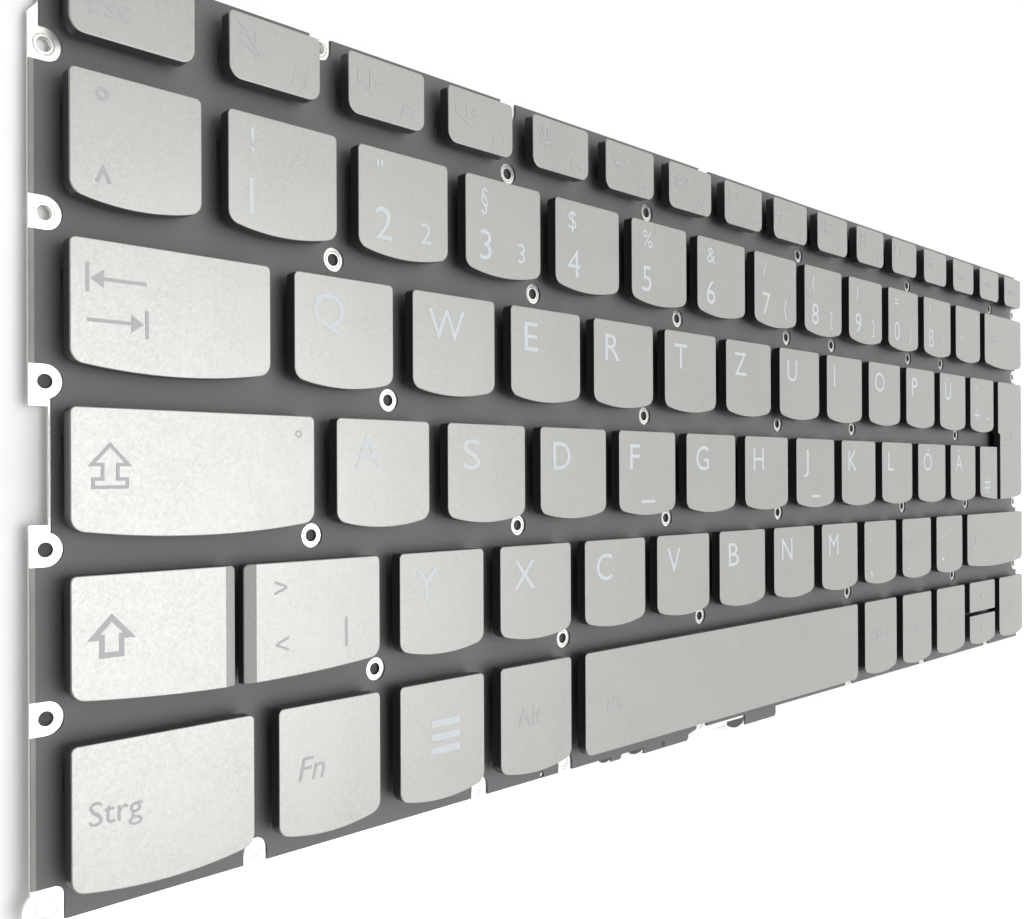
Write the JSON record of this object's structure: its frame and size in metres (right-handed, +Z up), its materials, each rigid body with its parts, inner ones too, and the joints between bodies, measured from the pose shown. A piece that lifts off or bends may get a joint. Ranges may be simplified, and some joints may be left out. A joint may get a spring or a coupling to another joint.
{
  "type": "laptop keyboard",
  "caption": "Flat laptop keyboard module: low silver keycaps with bowed front edges on rubber domes, over a dark switch film and a thin metal plate with screw tabs.",
  "frame": {"origin": "middle of the plate's underside, which lies on the table", "axes": "+X along the key rows to the right, +Y towards the function row, +Z up out of the keytops"},
  "size_m": [0.2812, 0.1076, 0.0041],
  "materials": {
    "plate_metal": "satin rolled sheet",
    "switch_film": "matte dark film",
    "dome_rubber": "moulded silicone",
    "bar_steel": "drawn wire",
    "key_paint": "silver paint on the keytop over black plastic sides"
  },
  "bodies": {
    "base": {"base_plate": "plate_metal", "switch_film": "switch_film", "rubber_domes": "dome_rubber", "stabiliser_bars": "bar_steel", "function_row_keys": "key_paint", "number_row_keys": "key_paint"},
    "key_a": {"key_a": "key_paint"},
    "key_ae": {"key_ae": "key_paint"},
    "key_alt": {"key_alt": "key_paint"},
    "key_alt_gr": {"key_alt_gr": "key_paint"},
    "key_angle": {"key_angle": "key_paint"},
    "key_arrow_down": {"key_arrow_down": "key_paint"},
    "key_arrow_left": {"key_arrow_left": "key_paint"},
    "key_arrow_right": {"key_arrow_right": "key_paint"},
    "key_arrow_up": {"key_arrow_up": "key_paint"},
    "key_b": {"key_b": "key_paint"},
    "key_backspace": {"key_backspace": "key_paint"},
    "key_c": {"key_c": "key_paint"},
    "key_caps": {"key_caps": "key_paint"},
    "key_comma": {"key_comma": "key_paint"},
    "key_d": {"key_d": "key_paint"},
    "key_delete": {"key_delete": "key_paint"},
    "key_e": {"key_e": "key_paint"},
    "key_enter": {"key_enter": "key_paint"},
    "key_escape": {"key_escape": "key_paint"},
    "key_f": {"key_f": "key_paint"},
    "key_fn": {"key_fn": "key_paint"},
    "key_g": {"key_g": "key_paint"},
    "key_h": {"key_h": "key_paint"},
    "key_hash": {"key_hash": "key_paint"},
    "key_i": {"key_i": "key_paint"},
    "key_j": {"key_j": "key_paint"},
    "key_k": {"key_k": "key_paint"},
    "key_l": {"key_l": "key_paint"},
    "key_left_ctrl": {"key_left_ctrl": "key_paint"},
    "key_left_shift": {"key_left_shift": "key_paint"},
    "key_m": {"key_m": "key_paint"},
    "key_minus": {"key_minus": "key_paint"},
    "key_n": {"key_n": "key_paint"},
    "key_o": {"key_o": "key_paint"},
    "key_oe": {"key_oe": "key_paint"},
    "key_p": {"key_p": "key_paint"},
    "key_period": {"key_period": "key_paint"},
    "key_plus": {"key_plus": "key_paint"},
    "key_q": {"key_q": "key_paint"},
    "key_r": {"key_r": "key_paint"},
    "key_right_ctrl": {"key_right_ctrl": "key_paint"},
    "key_right_shift": {"key_right_shift": "key_paint"},
    "key_s": {"key_s": "key_paint"},
    "key_space": {"key_space": "key_paint"},
    "key_super": {"key_super": "key_paint"},
    "key_t": {"key_t": "key_paint"},
    "key_tab": {"key_tab": "key_paint"},
    "key_u": {"key_u": "key_paint"},
    "key_ue": {"key_ue": "key_paint"},
    "key_v": {"key_v": "key_paint"},
    "key_w": {"key_w": "key_paint"},
    "key_x": {"key_x": "key_paint"},
    "key_y": {"key_y": "key_paint"},
    "key_z": {"key_z": "key_paint"}
  },
  "joints": [
    {"name": "a_travel", "type": "slide", "parent": "base", "child": "key_a", "axis": [0, 0, -1], "range_m": [0, 0.0013], "stiffness_N_per_m": 350, "springref_m": -0.0005, "deforming": ["rubber_domes"]},
    {"name": "ae_travel", "type": "slide", "parent": "base", "child": "key_ae", "axis": [0, 0, -1], "range_m": [0, 0.0013], "stiffness_N_per_m": 350, "springref_m": -0.0005, "deforming": ["rubber_domes"]},
    {"name": "alt_travel", "type": "slide", "parent": "base", "child": "key_alt", "axis": [0, 0, -1], "range_m": [0, 0.0013], "stiffness_N_per_m": 350, "springref_m": -0.0005, "deforming": ["rubber_domes"]},
    {"name": "alt_gr_travel", "type": "slide", "parent": "base", "child": "key_alt_gr", "axis": [0, 0, -1], "range_m": [0, 0.0013], "stiffness_N_per_m": 350, "springref_m": -0.0005, "deforming": ["rubber_domes"]},
    {"name": "angle_travel", "type": "slide", "parent": "base", "child": "key_angle", "axis": [0, 0, -1], "range_m": [0, 0.0013], "stiffness_N_per_m": 350, "springref_m": -0.0005, "deforming": ["rubber_domes"]},
    {"name": "arrow_down_travel", "type": "slide", "parent": "base", "child": "key_arrow_down", "axis": [0, 0, -1], "range_m": [0, 0.0013], "stiffness_N_per_m": 350, "springref_m": -0.0005, "deforming": ["rubber_domes"]},
    {"name": "arrow_left_travel", "type": "slide", "parent": "base", "child": "key_arrow_left", "axis": [0, 0, -1], "range_m": [0, 0.0013], "stiffness_N_per_m": 350, "springref_m": -0.0005, "deforming": ["rubber_domes"]},
    {"name": "arrow_right_travel", "type": "slide", "parent": "base", "child": "key_arrow_right", "axis": [0, 0, -1], "range_m": [0, 0.0013], "stiffness_N_per_m": 350, "springref_m": -0.0005, "deforming": ["rubber_domes"]},
    {"name": "arrow_up_travel", "type": "slide", "parent": "base", "child": "key_arrow_up", "axis": [0, 0, -1], "range_m": [0, 0.0013], "stiffness_N_per_m": 350, "springref_m": -0.0005, "deforming": ["rubber_domes"]},
    {"name": "b_travel", "type": "slide", "parent": "base", "child": "key_b", "axis": [0, 0, -1], "range_m": [0, 0.0013], "stiffness_N_per_m": 350, "springref_m": -0.0005, "deforming": ["rubber_domes"]},
    {"name": "backspace_travel", "type": "slide", "parent": "base", "child": "key_backspace", "axis": [0, 0, -1], "range_m": [0, 0.0013], "stiffness_N_per_m": 350, "springref_m": -0.0005, "deforming": ["rubber_domes"]},
    {"name": "c_travel", "type": "slide", "parent": "base", "child": "key_c", "axis": [0, 0, -1], "range_m": [0, 0.0013], "stiffness_N_per_m": 350, "springref_m": -0.0005, "deforming": ["rubber_domes"]},
    {"name": "caps_travel", "type": "slide", "parent": "base", "child": "key_caps", "axis": [0, 0, -1], "range_m": [0, 0.0013], "stiffness_N_per_m": 350, "springref_m": -0.0005, "deforming": ["rubber_domes"]},
    {"name": "comma_travel", "type": "slide", "parent": "base", "child": "key_comma", "axis": [0, 0, -1], "range_m": [0, 0.0013], "stiffness_N_per_m": 350, "springref_m": -0.0005, "deforming": ["rubber_domes"]},
    {"name": "d_travel", "type": "slide", "parent": "base", "child": "key_d", "axis": [0, 0, -1], "range_m": [0, 0.0013], "stiffness_N_per_m": 350, "springref_m": -0.0005, "deforming": ["rubber_domes"]},
    {"name": "delete_travel", "type": "slide", "parent": "base", "child": "key_delete", "axis": [0, 0, -1], "range_m": [0, 0.0013], "stiffness_N_per_m": 350, "springref_m": -0.0005, "deforming": ["rubber_domes"]},
    {"name": "e_travel", "type": "slide", "parent": "base", "child": "key_e", "axis": [0, 0, -1], "range_m": [0, 0.0013], "stiffness_N_per_m": 350, "springref_m": -0.0005, "deforming": ["rubber_domes"]},
    {"name": "enter_travel", "type": "slide", "parent": "base", "child": "key_enter", "axis": [0, 0, -1], "range_m": [0, 0.0013], "stiffness_N_per_m": 350, "springref_m": -0.0005, "deforming": ["rubber_domes"]},
    {"name": "escape_travel", "type": "slide", "parent": "base", "child": "key_escape", "axis": [0, 0, -1], "range_m": [0, 0.0013], "stiffness_N_per_m": 350, "springref_m": -0.0005, "deforming": ["rubber_domes"]},
    {"name": "f_travel", "type": "slide", "parent": "base", "child": "key_f", "axis": [0, 0, -1], "range_m": [0, 0.0013], "stiffness_N_per_m": 350, "springref_m": -0.0005, "deforming": ["rubber_domes"]},
    {"name": "fn_travel", "type": "slide", "parent": "base", "child": "key_fn", "axis": [0, 0, -1], "range_m": [0, 0.0013], "stiffness_N_per_m": 350, "springref_m": -0.0005, "deforming": ["rubber_domes"]},
    {"name": "g_travel", "type": "slide", "parent": "base", "child": "key_g", "axis": [0, 0, -1], "range_m": [0, 0.0013], "stiffness_N_per_m": 350, "springref_m": -0.0005, "deforming": ["rubber_domes"]},
    {"name": "h_travel", "type": "slide", "parent": "base", "child": "key_h", "axis": [0, 0, -1], "range_m": [0, 0.0013], "stiffness_N_per_m": 350, "springref_m": -0.0005, "deforming": ["rubber_domes"]},
    {"name": "hash_travel", "type": "slide", "parent": "base", "child": "key_hash", "axis": [0, 0, -1], "range_m": [0, 0.0013], "stiffness_N_per_m": 350, "springref_m": -0.0005, "deforming": ["rubber_domes"]},
    {"name": "i_travel", "type": "slide", "parent": "base", "child": "key_i", "axis": [0, 0, -1], "range_m": [0, 0.0013], "stiffness_N_per_m": 350, "springref_m": -0.0005, "deforming": ["rubber_domes"]},
    {"name": "j_travel", "type": "slide", "parent": "base", "child": "key_j", "axis": [0, 0, -1], "range_m": [0, 0.0013], "stiffness_N_per_m": 350, "springref_m": -0.0005, "deforming": ["rubber_domes"]},
    {"name": "k_travel", "type": "slide", "parent": "base", "child": "key_k", "axis": [0, 0, -1], "range_m": [0, 0.0013], "stiffness_N_per_m": 350, "springref_m": -0.0005, "deforming": ["rubber_domes"]},
    {"name": "l_travel", "type": "slide", "parent": "base", "child": "key_l", "axis": [0, 0, -1], "range_m": [0, 0.0013], "stiffness_N_per_m": 350, "springref_m": -0.0005, "deforming": ["rubber_domes"]},
    {"name": "left_ctrl_travel", "type": "slide", "parent": "base", "child": "key_left_ctrl", "axis": [0, 0, -1], "range_m": [0, 0.0013], "stiffness_N_per_m": 350, "springref_m": -0.0005, "deforming": ["rubber_domes"]},
    {"name": "left_shift_travel", "type": "slide", "parent": "base", "child": "key_left_shift", "axis": [0, 0, -1], "range_m": [0, 0.0013], "stiffness_N_per_m": 350, "springref_m": -0.0005, "deforming": ["rubber_domes"]},
    {"name": "m_travel", "type": "slide", "parent": "base", "child": "key_m", "axis": [0, 0, -1], "range_m": [0, 0.0013], "stiffness_N_per_m": 350, "springref_m": -0.0005, "deforming": ["rubber_domes"]},
    {"name": "minus_travel", "type": "slide", "parent": "base", "child": "key_minus", "axis": [0, 0, -1], "range_m": [0, 0.0013], "stiffness_N_per_m": 350, "springref_m": -0.0005, "deforming": ["rubber_domes"]},
    {"name": "n_travel", "type": "slide", "parent": "base", "child": "key_n", "axis": [0, 0, -1], "range_m": [0, 0.0013], "stiffness_N_per_m": 350, "springref_m": -0.0005, "deforming": ["rubber_domes"]},
    {"name": "o_travel", "type": "slide", "parent": "base", "child": "key_o", "axis": [0, 0, -1], "range_m": [0, 0.0013], "stiffness_N_per_m": 350, "springref_m": -0.0005, "deforming": ["rubber_domes"]},
    {"name": "oe_travel", "type": "slide", "parent": "base", "child": "key_oe", "axis": [0, 0, -1], "range_m": [0, 0.0013], "stiffness_N_per_m": 350, "springref_m": -0.0005, "deforming": ["rubber_domes"]},
    {"name": "p_travel", "type": "slide", "parent": "base", "child": "key_p", "axis": [0, 0, -1], "range_m": [0, 0.0013], "stiffness_N_per_m": 350, "springref_m": -0.0005, "deforming": ["rubber_domes"]},
    {"name": "period_travel", "type": "slide", "parent": "base", "child": "key_period", "axis": [0, 0, -1], "range_m": [0, 0.0013], "stiffness_N_per_m": 350, "springref_m": -0.0005, "deforming": ["rubber_domes"]},
    {"name": "plus_travel", "type": "slide", "parent": "base", "child": "key_plus", "axis": [0, 0, -1], "range_m": [0, 0.0013], "stiffness_N_per_m": 350, "springref_m": -0.0005, "deforming": ["rubber_domes"]},
    {"name": "q_travel", "type": "slide", "parent": "base", "child": "key_q", "axis": [0, 0, -1], "range_m": [0, 0.0013], "stiffness_N_per_m": 350, "springref_m": -0.0005, "deforming": ["rubber_domes"]},
    {"name": "r_travel", "type": "slide", "parent": "base", "child": "key_r", "axis": [0, 0, -1], "range_m": [0, 0.0013], "stiffness_N_per_m": 350, "springref_m": -0.0005, "deforming": ["rubber_domes"]},
    {"name": "right_ctrl_travel", "type": "slide", "parent": "base", "child": "key_right_ctrl", "axis": [0, 0, -1], "range_m": [0, 0.0013], "stiffness_N_per_m": 350, "springref_m": -0.0005, "deforming": ["rubber_domes"]},
    {"name": "right_shift_travel", "type": "slide", "parent": "base", "child": "key_right_shift", "axis": [0, 0, -1], "range_m": [0, 0.0013], "stiffness_N_per_m": 350, "springref_m": -0.0005, "deforming": ["rubber_domes"]},
    {"name": "s_travel", "type": "slide", "parent": "base", "child": "key_s", "axis": [0, 0, -1], "range_m": [0, 0.0013], "stiffness_N_per_m": 350, "springref_m": -0.0005, "deforming": ["rubber_domes"]},
    {"name": "space_travel", "type": "slide", "parent": "base", "child": "key_space", "axis": [0, 0, -1], "range_m": [0, 0.0013], "stiffness_N_per_m": 350, "springref_m": -0.0005, "deforming": ["rubber_domes"]},
    {"name": "super_travel", "type": "slide", "parent": "base", "child": "key_super", "axis": [0, 0, -1], "range_m": [0, 0.0013], "stiffness_N_per_m": 350, "springref_m": -0.0005, "deforming": ["rubber_domes"]},
    {"name": "t_travel", "type": "slide", "parent": "base", "child": "key_t", "axis": [0, 0, -1], "range_m": [0, 0.0013], "stiffness_N_per_m": 350, "springref_m": -0.0005, "deforming": ["rubber_domes"]},
    {"name": "tab_travel", "type": "slide", "parent": "base", "child": "key_tab", "axis": [0, 0, -1], "range_m": [0, 0.0013], "stiffness_N_per_m": 350, "springref_m": -0.0005, "deforming": ["rubber_domes"]},
    {"name": "u_travel", "type": "slide", "parent": "base", "child": "key_u", "axis": [0, 0, -1], "range_m": [0, 0.0013], "stiffness_N_per_m": 350, "springref_m": -0.0005, "deforming": ["rubber_domes"]},
    {"name": "ue_travel", "type": "slide", "parent": "base", "child": "key_ue", "axis": [0, 0, -1], "range_m": [0, 0.0013], "stiffness_N_per_m": 350, "springref_m": -0.0005, "deforming": ["rubber_domes"]},
    {"name": "v_travel", "type": "slide", "parent": "base", "child": "key_v", "axis": [0, 0, -1], "range_m": [0, 0.0013], "stiffness_N_per_m": 350, "springref_m": -0.0005, "deforming": ["rubber_domes"]},
    {"name": "w_travel", "type": "slide", "parent": "base", "child": "key_w", "axis": [0, 0, -1], "range_m": [0, 0.0013], "stiffness_N_per_m": 350, "springref_m": -0.0005, "deforming": ["rubber_domes"]},
    {"name": "x_travel", "type": "slide", "parent": "base", "child": "key_x", "axis": [0, 0, -1], "range_m": [0, 0.0013], "stiffness_N_per_m": 350, "springref_m": -0.0005, "deforming": ["rubber_domes"]},
    {"name": "y_travel", "type": "slide", "parent": "base", "child": "key_y", "axis": [0, 0, -1], "range_m": [0, 0.0013], "stiffness_N_per_m": 350, "springref_m": -0.0005, "deforming": ["rubber_domes"]},
    {"name": "z_travel", "type": "slide", "parent": "base", "child": "key_z", "axis": [0, 0, -1], "range_m": [0, 0.0013], "stiffness_N_per_m": 350, "springref_m": -0.0005, "deforming": ["rubber_domes"]}
  ]
}
